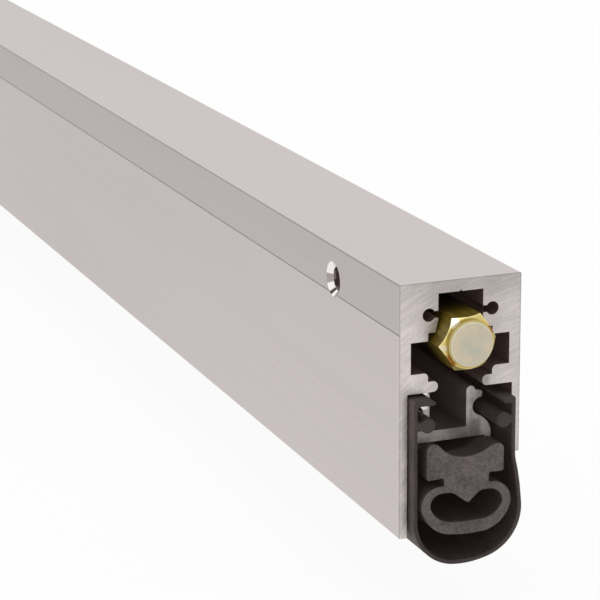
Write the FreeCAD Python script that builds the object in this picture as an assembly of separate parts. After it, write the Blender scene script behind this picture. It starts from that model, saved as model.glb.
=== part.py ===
import FreeCAD, Part
import math
import os
from FreeCAD import Vector

# Automatic door bottom seal, 36 inch, in millimetres.
# X runs along the door with the striker at the +X end, -Y is the exposed face,
# +Y lies against the door, and Z is up with its zero at the top of the housing.
# Every depth is measured down from that top.

# Housing extrusion
length = 914.4
width = 22.2
long_wall = 44.45
short_wall = 31.5
wall = 1.45
edge_radius = 0.25
top_web = 2.1
web_mark = 0.27
slot_half = 4.1
port_radius = 1.15
port_half_spacing = 5.8
port_depth = 5.65
port_wall = 0.5
neck_height = 1.2
keyway_top = 6.6
keyway_half = 4.6
shoulder_top = 8.75
shoulder_half = 5.9
shoulder_radius = 0.8
ear_top = 10.15
ear_bottom = 15.65
ear_half = 9.05
nose_top = 17.2
nose_radius = 0.85
chamber_top = 19.05
scribe_depth = 8.7
scribe_size = 0.12

# Screw holes that fix the housing to the door
fixing_count = 4
fixing_radius = 2.2
countersink_radius = 3.175
fixing_depth = 6.1
fixing_inset = 29.15

# Striker nut, its button and the rods behind it
axis_depth = 10.15
stroke = 4.3
nut_flats = 9.1
nut_length = 14.0
nut_chamfer = 0.1
collar_length = 0.6
collar_radius = 4.3
button_radius = 3.9
button_thickness = 0.6
button_edge = 0.18
stem_radius = 1.2
stem_length = 3.0
rod_radius = 1.5
rod_in_nut = 7.0
rod_in_block = 12.0
rod_clearance = 0.06
bore_clearance = 0.5

# Sliding and anchored blocks, their pins and screws
block_length = 30.0
block_clearance = 0.3
hump_half = 3.9
hump_clearance = 0.1
tongue_half = 5.5
tongue_length = 1.25
pin_radius = 1.2
pin_depth = 14.1
pin_to_block_end = 4.0
pin_end_clearance = 0.7
pin_fit = 0.05
anchor_screw_radius = 1.5
anchor_screw_head = 2.9
anchor_screw_length = 7.0
anchor_screw_fit = 0.1

# Bow springs, from the striker end
spring_inset = 74.0
spring_span = 266.0
spring_width = 6.4
spring_thickness = 0.6
spring_flat = 24.0
fork_clearance = 0.15
eye_clearance = 0.2

# Saddles and rivets that hold the springs down on the drop bar
saddle_width = 6.2
saddle_thickness = 1.0
saddle_corner = 1.5
rivet_radius = 1.5
rivet_head_radius = 2.4
rivet_head_height = 1.2
rivet_taper = 0.6

# Drop bar extrusion
bar_recess = 4.8
leg_gap = 6.9
leg_tip_radius = 0.8
leg_top = 20.5
lip_half = 6.4
lip_top = 21.5
lip_radius = 0.4
groove_radius = 1.6
groove_half_spacing = 6.2
groove_depth = 24.3
groove_from = 101
groove_to = 248
plate_top = 27.66
plate_thickness = 1.94
bar_half = 8.1
bar_shoulder = 1.1
bar_shoulder_bulge = 0.48
bar_bottom = 34.9
bar_lip_thickness = 1.05
bar_side_wall = 1.1

# Bulb insert, a soft block with a hollow bulb under it
bulb_reach = 3.1
block_gap = 0.15
block_radius = 1.1
neck_half = 4.1
neck_gap = 0.3
trough_half = 4.7
trough_height = 2.05
trough_sag = 0.46
bulb_half = 8.25
bulb_height = 9.05
bulb_widest = 3.85
bulb_shoulder = 3.4
bulb_shoulder_bulge = 1.13
bulb_belly_bulge = 1.2
bulb_foot_half = 2.9
bulb_foot_bulge = 0.33
bulb_side_wall = 1.6
bulb_floor_wall = 2.3
bulb_roof_wall = 1.25
vee_half = 2.6
vee_height = 2.1

# Seal sleeve, a soft U with hooked arms and two beads
sleeve_reach = 2.2
sleeve_wall = 0.7
sleeve_clearance = 0.25
sleeve_left_top = 19.65
sleeve_right_top = 20.95
left_hook = 5.65
skirt_half = 10.62
skirt_height = 18.1
skirt_widest = 7.9
skirt_left_rise = 8.0
skirt_foot_right = 4.0
skirt_foot_left = 2.4
skirt_foot_rise = 0.6
skirt_side_bulge = 0.2
skirt_right_bulge = 2.25
skirt_floor_bulge = 0.32
skirt_left_bulge = 1.87
bead_web = 1.7
left_bead_y = 6.7
left_bead_depth = 24.2
left_bead_radius = 1.25
right_bead_y = 7.2
right_bead_depth = 24.85
right_bead_radius = 1.35

os.makedirs("parts", exist_ok=True)
near_end = length / 2
far_end = -length / 2
exposed_face = -width / 2
door_face = width / 2
chamber_half = width / 2 - wall
ear_depth = (ear_top + ear_bottom) / 2
button_back = near_end + stroke - button_thickness
nut_front = button_back - collar_length
nut_back = nut_front - nut_length
plate_bottom = plate_top + plate_thickness
spring_top = plate_top - spring_thickness
saddle_top = spring_top - saddle_thickness
eye_radius = pin_radius + pin_fit
rivet_hole = rivet_radius + pin_fit
lip_bottom = groove_depth - groove_radius


def mirrored(half):
    # Closes a symmetric outline: what lies right of the centre line is repeated left of it
    other = []
    for item in reversed(half):
        if isinstance(item, tuple) and item[0] > 0:
            other.append((-item[0],) + item[1:])
        elif not isinstance(item, tuple) and other:
            other.append(item)
    return half + other


def corner_arc(before, corner, after, radius):
    # The tangent arc that rounds a corner between two straight runs
    to_before = (before - corner).normalize()
    to_after = (after - corner).normalize()
    half_angle = to_before.getAngle(to_after) / 2
    run = radius / math.tan(half_angle)
    middle = corner + (to_before + to_after).normalize() * (radius / math.sin(half_angle) - radius)
    return [corner + to_before * run, middle, corner + to_after * run]


def outline(items):
    # A closed face in the YZ plane, walked clockwise as seen from +X. A point is
    # (y, depth), with a third value where its corner is rounded. A number between
    # two points is how far the side between them bulges outwards.
    points = []
    bulges = []
    for item in items:
        if isinstance(item, tuple):
            points.append(item)
            bulges.append(0)
        else:
            bulges[-1] = item
    places = [Vector(0, point[0], -point[1]) for point in points]
    corners = []
    for index, point in enumerate(points):
        if len(point) > 2:
            after = places[(index + 1) % len(places)]
            corners.append(corner_arc(places[index - 1], places[index], after, point[2]))
        else:
            corners.append([places[index]])
    edges = []
    for index, corner in enumerate(corners):
        start = corner[-1]
        end = corners[(index + 1) % len(corners)][0]
        across = end - start
        if len(corner) > 1:
            edges.append(Part.Arc(*corner).toShape())
        if bulges[index]:
            outwards = Vector(0, -across.z, across.y).normalize()
            edges.append(Part.Arc(start, (start + end) / 2 + outwards * bulges[index], end).toShape())
        else:
            edges.append(Part.LineSegment(start, end).toShape())
    return Part.Face(Part.Wire(edges))


def extrude_face(face, start, end):
    return face.translated(Vector(start, 0, 0)).extrude(Vector(end - start, 0, 0))


def extrude(items, start, end):
    return extrude_face(outline(items), start, end)


def box(x0, x1, y0, y1, depth0, depth1):
    return Part.makeBox(x1 - x0, y1 - y0, depth1 - depth0, Vector(x0, y0, -depth1))


def rod_x(radius, x0, x1, y, depth):
    return Part.makeCylinder(radius, x1 - x0, Vector(x0, y, -depth), Vector(1, 0, 0))


def rod_y(radius, y0, y1, x, depth):
    return Part.makeCylinder(radius, y1 - y0, Vector(x, y0, -depth), Vector(0, 1, 0))


def rod_z(radius, x, depth0, depth1):
    return Part.makeCylinder(radius, depth1 - depth0, Vector(x, 0, -depth1), Vector(0, 0, 1))


def save(name, *solids):
    shape = solids[0] if len(solids) == 1 else Part.makeCompound(list(solids))
    shape.exportStep(f"parts/{name}.step")


def fixing_places():
    # The end holes lie at the inset, and the others are evenly spaced between them
    spacing = (length - 2 * fixing_inset) / (fixing_count - 1)
    return [far_end + fixing_inset + number * spacing for number in range(fixing_count)]


def spring_places():
    # Each spring: the X of its driven eye and of its anchored eye
    first = near_end - spring_inset
    last = far_end + spring_inset
    return [(first, first - spring_span), (last + spring_span, last)]


def spring_middles():
    return [(driven + anchored) / 2 for driven, anchored in spring_places()]


def anchor_screw_places():
    return [anchored + pin_to_block_end - block_length / 2 for driven, anchored in spring_places()]


def housing():
    cavity = [
        (chamber_half, chamber_top),
        (slot_half, chamber_top, nose_radius),
        (slot_half, nose_top, nose_radius),
        (shoulder_half, nose_top),
        (shoulder_half, ear_bottom, shoulder_radius),
        (ear_half, ear_bottom),
        (ear_half, ear_top),
        (shoulder_half, ear_top),
        (shoulder_half, shoulder_top),
        (keyway_half, shoulder_top),
        (slot_half, keyway_top),
        (slot_half, top_web),
        (web_mark, top_web),
        (0, top_web - web_mark),
    ]
    points = [(chamber_half, short_wall)] + mirrored(cavity) + [
        (-chamber_half, long_wall),
        (exposed_face, long_wall, edge_radius),
        (exposed_face, scribe_depth + scribe_size),
        (exposed_face + scribe_size, scribe_depth),
        (exposed_face, scribe_depth - scribe_size),
        (exposed_face, 0, edge_radius),
        (door_face, 0, edge_radius),
        (door_face, short_wall, edge_radius),
    ]
    cuts = []
    for side in (-1, 1):
        port = side * port_half_spacing
        slot = side * (slot_half - port_wall)
        cuts.append(rod_x(port_radius, far_end, near_end, port, port_depth))
        cuts.append(box(far_end, near_end, min(port, slot), max(port, slot),
                        port_depth - neck_height / 2, port_depth + neck_height / 2))
    for x in fixing_places():
        cuts.append(rod_y(fixing_radius, exposed_face, door_face, x, fixing_depth))
        cuts.append(Part.makeCone(countersink_radius, fixing_radius, countersink_radius - fixing_radius,
                                  Vector(x, exposed_face, -fixing_depth), Vector(0, 1, 0)))
    for x in anchor_screw_places():
        cuts.append(rod_y(anchor_screw_radius + anchor_screw_fit, ear_half, door_face, x, ear_depth))
        cuts.append(screw_head(x, anchor_screw_fit))
    return extrude(points, far_end, near_end).cut(cuts)


def screw_head(x, allowance):
    # The cone of a countersunk head, flush with the door side of the housing
    height = anchor_screw_head - anchor_screw_radius
    return Part.makeCone(anchor_screw_radius + allowance, anchor_screw_head + allowance, height,
                         Vector(x, door_face - height, -ear_depth), Vector(0, 1, 0))


def anchor_screw(x):
    height = anchor_screw_head - anchor_screw_radius
    shank = rod_y(anchor_screw_radius, door_face - anchor_screw_length, door_face - height, x, ear_depth)
    return shank.fuse(screw_head(x, 0)).removeSplitter()


def striker_nut():
    # Two corners of the hexagon point sideways and run in the keyway of the housing
    corner = nut_flats / math.sqrt(3)
    turns = [math.radians(60 * number) for number in range(6)]
    hexagon = [(corner * math.cos(turn), axis_depth + corner * math.sin(turn)) for turn in turns]
    front_radius = nut_flats / 2 - nut_chamfer
    envelope = Part.makeCone(front_radius + nut_length * math.sqrt(3), front_radius, nut_length,
                             Vector(nut_back, 0, -axis_depth), Vector(1, 0, 0))
    body = extrude(hexagon, nut_back, nut_front).common(envelope)
    body = body.fuse(rod_x(collar_radius, nut_front, button_back, 0, axis_depth)).removeSplitter()
    return body.cut([
        rod_x(rod_radius + rod_clearance, nut_back, nut_back + rod_in_nut + bore_clearance, 0, axis_depth),
        rod_x(stem_radius + pin_fit, button_back - stem_length - bore_clearance, button_back, 0, axis_depth),
    ])


def striker_button():
    rim = button_back + button_thickness - button_edge
    disc = rod_x(button_radius, button_back, rim, 0, axis_depth)
    crown = Part.makeCone(button_radius, button_radius - button_edge, button_edge,
                          Vector(rim, 0, -axis_depth), Vector(1, 0, 0))
    stem = rod_x(stem_radius, button_back - stem_length, button_back, 0, axis_depth)
    return disc.fuse([crown, stem]).removeSplitter()


def block_span(eye, side):
    # The two ends of a block; side is +1 where it lies on the +X side of its spring eye
    back = eye - side * pin_to_block_end
    front = back + side * block_length
    return min(back, front), max(back, front)


def push_rod():
    slider_end = block_span(spring_places()[0][0], 1)[1]
    return rod_x(rod_radius, slider_end - rod_in_block, nut_back + rod_in_nut, 0, axis_depth)


def link_rod():
    first, second = [block_span(driven, 1) for driven, anchored in spring_places()]
    return rod_x(rod_radius, second[1] - rod_in_block, first[0] + rod_in_block, 0, axis_depth)


def block_with_fork(eye, side):
    # Slides between the ears and the shoulders of the housing, and its fork holds the spring's eye
    gap = block_clearance
    hump_top = fixing_depth + fixing_radius + hump_clearance
    start, end = block_span(eye, side)
    body = extrude(mirrored([
        (0, hump_top),
        (hump_half, hump_top),
        (hump_half, shoulder_top + gap),
        (shoulder_half - gap, shoulder_top + gap),
        (shoulder_half - gap, ear_top + gap),
        (ear_half - gap, ear_top + gap),
        (ear_half - gap, ear_bottom - gap),
        (tongue_half, ear_bottom - gap),
        (tongue_half, ear_bottom + tongue_length),
        (0, ear_bottom + tongue_length),
    ]), start, end)
    fork_half = spring_width / 2 + fork_clearance
    eye_reach = eye_radius + spring_thickness + eye_clearance
    fork_start, fork_end = sorted((eye - side * pin_to_block_end, eye + side * eye_reach))
    return body.cut([
        box(fork_start, fork_end, -fork_half, fork_half, pin_depth - eye_reach, long_wall),
        rod_y(pin_radius + pin_fit, -ear_half, ear_half, eye, pin_depth),
        rod_x(rod_radius + rod_clearance, start, end, 0, axis_depth),
    ])


def slider_block(index):
    return block_with_fork(spring_places()[index][0], 1)


def anchor_block(index):
    hole = rod_y(anchor_screw_radius + pin_fit, door_face - anchor_screw_length - bore_clearance, door_face,
                 anchor_screw_places()[index], ear_depth)
    return block_with_fork(spring_places()[index][1], -1).cut(hole)


def eye_pin(x):
    half = ear_half - pin_end_clearance
    return rod_y(pin_radius, -half, half, x, pin_depth)


def bow_spring(index):
    # A flat strip: an eye round each pin, an arc down from it, and a flat on the bar
    half_flat = spring_flat / 2
    half_width = spring_width / 2
    half_strip = spring_thickness / 2
    low = -plate_top + half_strip
    eye_reach = eye_radius + half_strip
    slope = 0
    for _ in range(20):
        # The arc starts level on the bar and ends tangent to the eye, so its slope is found step by step
        run = spring_span / 2 + eye_reach * math.sin(slope) - half_flat
        rise = -pin_depth - eye_reach * math.cos(slope) - low
        radius = (run ** 2 + rise ** 2) / (2 * rise)
        slope = math.asin(run / radius)

    def arc_points(offset):
        reach = radius + offset
        turns = (0, slope / 2, slope)
        return [Vector(half_flat + reach * math.sin(turn), -half_width, low + radius - reach * math.cos(turn))
                for turn in turns]

    upper = arc_points(-half_strip)
    lower = arc_points(half_strip)
    section = Part.Face(Part.Wire([
        Part.Arc(*upper).toShape(),
        Part.LineSegment(upper[2], lower[2]).toShape(),
        Part.Arc(lower[2], lower[1], lower[0]).toShape(),
        Part.LineSegment(lower[0], upper[0]).toShape(),
    ]))
    eye = rod_y(eye_radius + spring_thickness, -half_width, half_width, spring_span / 2, pin_depth)
    hole = rod_y(eye_radius, -half_width, half_width, spring_span / 2, pin_depth)
    arm = section.extrude(Vector(0, spring_width, 0)).fuse(eye).cut(hole)
    flat = box(-half_flat, half_flat, -half_width, half_width, spring_top, plate_top)
    strip = flat.fuse([arm, arm.mirror(Vector(0, 0, 0), Vector(1, 0, 0))])
    strip.translate(Vector(spring_middles()[index], 0, 0))
    return strip.cut(rod_z(rivet_hole, spring_middles()[index], 0, long_wall)).removeSplitter()


def spring_saddle(index):
    middle = spring_middles()[index]
    body = box(middle - spring_flat / 2, middle + spring_flat / 2, -saddle_width / 2, saddle_width / 2,
               saddle_top, spring_top)
    upright = [edge for edge in body.Edges if abs(edge.tangentAt(0).z) > 0.9]
    body = body.makeChamfer(saddle_corner, upright)
    return body.cut(rod_z(rivet_hole, middle, 0, long_wall))


def rivet(x):
    # Turned from its half section: a tapered head, and a shank set flush under the bar's plate
    section = outline([
        (0, saddle_top - rivet_head_height),
        (rivet_head_radius - rivet_taper, saddle_top - rivet_head_height),
        (rivet_head_radius, saddle_top),
        (rivet_radius, saddle_top),
        (rivet_radius, plate_bottom),
        (0, plate_bottom),
    ])
    section.translate(Vector(x, 0, 0))
    return section.revolve(Vector(x, 0, 0), Vector(0, 0, 1), 360)


def drop_bar():
    leg = leg_gap / 2
    lip_mouth = neck_half + neck_gap
    half_groove = math.radians(groove_to - groove_from) / 2

    def groove_point(degrees):
        turn = math.radians(degrees)
        return (groove_half_spacing + groove_radius * math.cos(turn), groove_depth - groove_radius * math.sin(turn))

    points = mirrored([
        (0, plate_top),
        (leg, plate_top),
        (leg, leg_top + leg_tip_radius),
        leg_tip_radius,
        (leg + 2 * leg_tip_radius, leg_top + leg_tip_radius),
        (lip_half, lip_top, lip_radius),
        (lip_half, lip_bottom, lip_radius),
        groove_point(groove_from),
        -groove_radius * (1 - math.cos(half_groove)),
        groove_point(groove_to),
        bar_shoulder_bulge,
        (bar_half, plate_top + bar_shoulder),
        (bar_half, bar_bottom, lip_radius),
        (lip_mouth, bar_bottom),
        (lip_mouth, bar_bottom - bar_lip_thickness),
        (bar_half - bar_side_wall, bar_bottom - bar_lip_thickness),
        (bar_half - bar_side_wall, plate_bottom),
        (0, plate_bottom),
    ])
    holes = [rod_z(rivet_hole, x, 0, long_wall) for x in spring_middles()]
    return extrude(points, far_end + bar_recess, near_end - bar_recess).cut(holes)


def bulb_insert():
    start = far_end - bulb_reach
    end = near_end + bulb_reach
    block_half = bar_half - bar_side_wall - block_gap
    block_top = plate_bottom + block_gap
    block_bottom = bar_bottom - bar_lip_thickness - block_gap
    bulb_top = bar_bottom + block_gap
    body = extrude(mirrored([
        (0, block_top + block_gap + trough_height),
        -trough_sag,
        (trough_half, block_top + block_gap),
        (block_half, block_top, block_radius),
        (block_half, block_bottom),
        (neck_half, block_bottom),
        (neck_half, bulb_top),
        (bulb_half - bulb_shoulder, bulb_top),
        bulb_shoulder_bulge,
        (bulb_half, bulb_top + bulb_widest),
        bulb_belly_bulge,
        (bulb_foot_half, bulb_top + bulb_height - bulb_foot_bulge),
        bulb_foot_bulge,
    ]), start, end)
    # The hollow follows the bulb at the side wall, and its roof hangs down in a V
    hollow_half = bulb_half - bulb_side_wall
    hollow_top = bulb_top + bulb_roof_wall
    hollow_bottom = bulb_top + bulb_height - bulb_floor_wall
    inner_share = hollow_half / bulb_half
    foot_bulge = bulb_foot_bulge * inner_share ** 2
    hollow = extrude(mirrored([
        (0, hollow_top + vee_height),
        (vee_half, hollow_top),
        (hollow_half - (bulb_shoulder - bulb_side_wall) * inner_share, hollow_top),
        bulb_shoulder_bulge * inner_share ** 2,
        (hollow_half, bulb_top + bulb_widest),
        bulb_belly_bulge * inner_share ** 2,
        (bulb_foot_half * inner_share, hollow_bottom - foot_bulge),
        foot_bulge,
    ]), start, end)
    return body.cut(hollow)


def seal_sleeve():
    # The skirt of the U bulges out below the short wall
    arm = chamber_half - sleeve_clearance
    floor = short_wall + skirt_height
    skirt = outline([
        (arm, sleeve_right_top),
        (arm, short_wall),
        skirt_side_bulge,
        (skirt_half, short_wall + skirt_widest),
        skirt_right_bulge,
        (skirt_foot_right, floor - skirt_foot_rise),
        skirt_floor_bulge,
        (-skirt_foot_left, floor - skirt_foot_rise / 4),
        skirt_left_bulge,
        (-arm, floor - skirt_left_rise),
        (-arm, sleeve_left_top),
    ])
    start = far_end - sleeve_reach
    end = near_end + sleeve_reach
    inner = arm - sleeve_wall
    shell = extrude_face(skirt, start, end).cut([
        extrude_face(skirt.makeOffset2D(-sleeve_wall), start, end),
        box(start, end, -inner, inner, sleeve_left_top, lip_bottom),
    ])
    web_end = arm - sleeve_wall / 2
    return shell.fuse([
        box(start, end, -arm, -left_hook, sleeve_left_top, sleeve_left_top + sleeve_wall),
        box(start, end, lip_half + sleeve_clearance, arm, sleeve_right_top, sleeve_right_top + sleeve_wall),
        rod_x(left_bead_radius, start, end, -left_bead_y, left_bead_depth),
        box(start, end, -web_end, -left_bead_y, left_bead_depth - bead_web / 2, left_bead_depth + bead_web / 2),
        rod_x(right_bead_radius, start, end, right_bead_y, right_bead_depth),
        box(start, end, right_bead_y, web_end, right_bead_depth - bead_web / 2, right_bead_depth + bead_web / 2),
    ]).removeSplitter()


save("housing", housing())
save("anchor_screws", *[anchor_screw(x) for x in anchor_screw_places()])
save("striker_nut", striker_nut())
save("striker_button", striker_button())
save("push_rod", push_rod())
save("link_rod", link_rod())
for index, (driven, anchored) in enumerate(spring_places()):
    number = index + 1
    save(f"slider_block_{number}", slider_block(index))
    save(f"slider_pin_{number}", eye_pin(driven))
    save(f"anchor_block_{number}", anchor_block(index))
    save(f"anchor_pin_{number}", eye_pin(anchored))
    save(f"bow_spring_{number}", bow_spring(index))
    save(f"spring_saddle_{number}", spring_saddle(index))
save("saddle_rivets", *[rivet(x) for x in spring_middles()])
save("drop_bar", drop_bar())
save("bulb_insert", bulb_insert())
save("seal_sleeve", seal_sleeve())
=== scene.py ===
import bmesh
import bpy
import math
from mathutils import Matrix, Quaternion, Vector


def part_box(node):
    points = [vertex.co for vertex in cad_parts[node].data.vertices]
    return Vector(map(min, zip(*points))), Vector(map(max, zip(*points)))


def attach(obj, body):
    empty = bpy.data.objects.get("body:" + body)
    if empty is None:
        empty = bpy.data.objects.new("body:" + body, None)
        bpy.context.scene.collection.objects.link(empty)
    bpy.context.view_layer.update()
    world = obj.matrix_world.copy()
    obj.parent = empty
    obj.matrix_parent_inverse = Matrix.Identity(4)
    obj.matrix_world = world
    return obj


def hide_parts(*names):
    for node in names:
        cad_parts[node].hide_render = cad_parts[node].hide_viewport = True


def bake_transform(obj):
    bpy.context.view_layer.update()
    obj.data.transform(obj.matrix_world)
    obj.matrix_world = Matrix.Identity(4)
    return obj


# Automatic door bottom seal: the looks and the soft parts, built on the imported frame.
# X runs along the door with the striker at +X, -Y is the exposed face, Z is up from the housing's top.
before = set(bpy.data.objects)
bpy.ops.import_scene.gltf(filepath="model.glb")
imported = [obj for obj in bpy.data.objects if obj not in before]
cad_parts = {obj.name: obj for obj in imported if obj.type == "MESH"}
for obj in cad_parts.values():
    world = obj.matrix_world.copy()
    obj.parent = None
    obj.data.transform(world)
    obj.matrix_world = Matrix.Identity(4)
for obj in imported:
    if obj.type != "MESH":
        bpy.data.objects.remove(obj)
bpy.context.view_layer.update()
mm = 0.001
farBack, nearFront = (corner.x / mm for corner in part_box("housing"))
arcStep = 5  # degrees between two points of a drawn arc


def passed(value, start, length):
    # How much of a stretch a value has passed, from 0 to 1
    return min(1, max(0, (value - start) / length))


def shade(red, green, blue):
    # A colour picked on a screen, as the shader's linear one
    steps = (channel / 255 for channel in (red, green, blue))
    return (*[step / 12.92 if step < 0.04 else ((step + 0.055) / 1.055) ** 2.4 for step in steps], 1)


class Link:
    # A shader socket that takes part in sums, so a * b + c adds the Math nodes
    def __init__(self, shading, socket):
        self.shading = shading
        self.socket = socket

    def other(self, output):
        return Link(self.shading, self.socket.node.outputs[output])

    def sum(self, operation, first, second):
        return self.shading.node("Math", {"operation": operation}, {0: first, 1: second})

    def __add__(self, value):
        return self.sum("ADD", self, value)

    def __radd__(self, value):
        return self.sum("ADD", value, self)

    def __sub__(self, value):
        return self.sum("SUBTRACT", self, value)

    def __rsub__(self, value):
        return self.sum("SUBTRACT", value, self)

    def __mul__(self, value):
        return self.sum("MULTIPLY", self, value)

    def __rmul__(self, value):
        return self.sum("MULTIPLY", value, self)

    def __pow__(self, value):
        return self.sum("POWER", self, value)

    def __abs__(self):
        return self.sum("ABSOLUTE", self, 0)

    def atLeast(self, value):
        return self.sum("MAXIMUM", self, value)

    def above(self, low, high):
        # 0 under low, 1 over high and smooth between
        settings = {"interpolation_type": "SMOOTHSTEP"}
        return self.shading.node("MapRange", settings, {0: self, 1: low, 2: high})

    def below(self, low, high):
        return 1 - self.above(low, high)

    def within(self, rise, fall):
        # 0 before the rise and after the fall, and 1 between them
        return self.above(*rise) * self.below(*fall)


class Shading:
    # The nodes of a material or of the world
    def __init__(self, tree):
        self.tree = tree

    def plug(self, socket, value):
        if isinstance(value, Link):
            self.tree.links.new(value.socket, socket)
        else:
            socket.default_value = value[:3] if socket.type == "VECTOR" else value

    def node(self, kind, settings=None, sockets=None, output=0):
        made = self.tree.nodes.new("ShaderNode" + kind)
        for name, value in (settings or {}).items():
            setattr(made, name, value)
        for name, value in (sockets or {}).items():
            self.plug(made.inputs[name], value)
        return Link(self, made.outputs[output])

    def seen(self):
        # 1 where the camera looks, straight, in a gloss or through glass
        path = self.node("LightPath", output="Is Camera Ray")
        return path.atLeast(path.other("Is Glossy Ray")).atLeast(path.other("Is Transmission Ray"))


class Finish(Shading):
    # One procedural material, whose patterns are laid out in millimetres
    def __init__(self, name, **constants):
        self.material = bpy.data.materials.new(name)
        self.material.use_nodes = True
        super().__init__(self.material.node_tree)
        self.shader = self.tree.nodes["Principled BSDF"]
        for socket, value in constants.items():
            self.give(socket.replace("_", " "), value)
        spot = self.node("TexCoord", output="Object")
        self.place = self.scaled(spot, 1 / mm)
        self.x = self.node("SeparateXYZ", sockets={0: self.place})
        self.y = self.x.other(1)
        self.z = self.x.other(2)

    def give(self, socket, value):
        self.plug(self.shader.inputs[socket], value)

    def noise(self, size, stretch=(1, 1, 1), detail=2):
        # Grain of about the given size in millimetres, drawn out along an axis by a small stretch
        spot = self.node("Mapping", sockets={"Vector": self.place, "Scale": stretch})
        return self.node("TexNoise", sockets={"Vector": spot, "Scale": 1 / size, "Detail": detail})

    def mix(self, share, first, second):
        return self.node("Mix", {"data_type": "RGBA"}, {0: share, 6: first, 7: second}, 2)

    def scaled(self, vector, level):
        return self.node("VectorMath", {"operation": "SCALE"}, {0: vector, "Scale": level})

    def tint(self, colour, value, depth):
        # The colour made lighter and darker by a value round one half
        return self.scaled(colour, 1 + (value - 0.5) * depth)

    def dress(self, colour, roughness, height=None, distance=0.01):
        self.give("Base Color", colour)
        self.give("Roughness", roughness)
        if height is not None:
            bump = self.node("Bump", sockets={"Height": height, "Distance": distance * mm})
            self.give("Normal", bump)
        return self.material


# Painted glow: dark parts give off this faint light so that their deep hollows are not black
paintedGlow = shade(21, 14, 12)  # the little light that a photograph shows in a deep hollow

housingLook = {
    "half": 11.1,
    "height": 44.45,
    # Painted shade: the long faces are darker in the middle of the length and paler towards both ends
    "shadeFadeFrom": 230,  # from here out to both ends the long faces grow paler
    "face": shade(203, 194, 192),
    "aboveScribe": 0.87,
    "cut": shade(203, 195, 192),
    "hollow": shade(86, 73, 69),
    "roughness": 0.4,
    "sawCentre": (24, -62),
    "sawPitch": 0.32,
    "scribe": (-8.7, 0.16),
    "lipShadeAcross": ((2.4, 2.9), (4.8, 6)),
    "lipShadeUp": ((-19.6, -19), (-17, -16.6)),
    "cavityHalf": 9.66,
    "cavityFade": (-36, -31.5),
    "webDepth": 2.0,
    "edge": 0.3,
    "holeInset": 29.15,
    "holeSpacing": 285.3667,
    "holeDepth": -6.1,
    "coneRadius": 3.175,
    "boreRadius": 2.2,
    "coneHighlight": shade(246, 240, 238),
    "coneDull": shade(168, 159, 156),
    "coneShade": shade(70, 58, 55),
    "bore": shade(196, 186, 182),
    # Turns round a countersink at which a painted highlight rises and falls
    "flashes": (((0.1, 0.2), (1.3, 1.6)), ((-1, -0.92), (-0.5, -0.4)), ((-1.62, -1.58), (-1.3, -1.26))),
    "gap": ((-1.26, -1.22), (-1.06, -1)),
}


def exposedFlat(finish):
    # 1 on the outside of the exposed wall, and 0 just under its surface
    return finish.y.below(0.004 - housingLook["half"], 0.012 - housingLook["half"])


def countersink(finish):
    # How far a point lies from the axis of the nearest fixing hole, and its turn up from the far side
    spacing = housingLook["holeSpacing"]
    along = finish.x + nearFront - housingLook["holeInset"]
    near = finish.node("Math", {"operation": "PINGPONG"}, {0: along, 1: spacing / 2})
    lift = finish.z - housingLook["holeDepth"]
    wrapped = finish.node("Math", {"operation": "WRAP"}, {0: along, 1: spacing / 2, 2: -spacing / 2})
    turn = finish.node("Math", {"operation": "ARCTAN2"}, {0: lift, 1: 0 - wrapped})
    return (near ** 2 + lift ** 2) ** 0.5, turn


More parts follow.
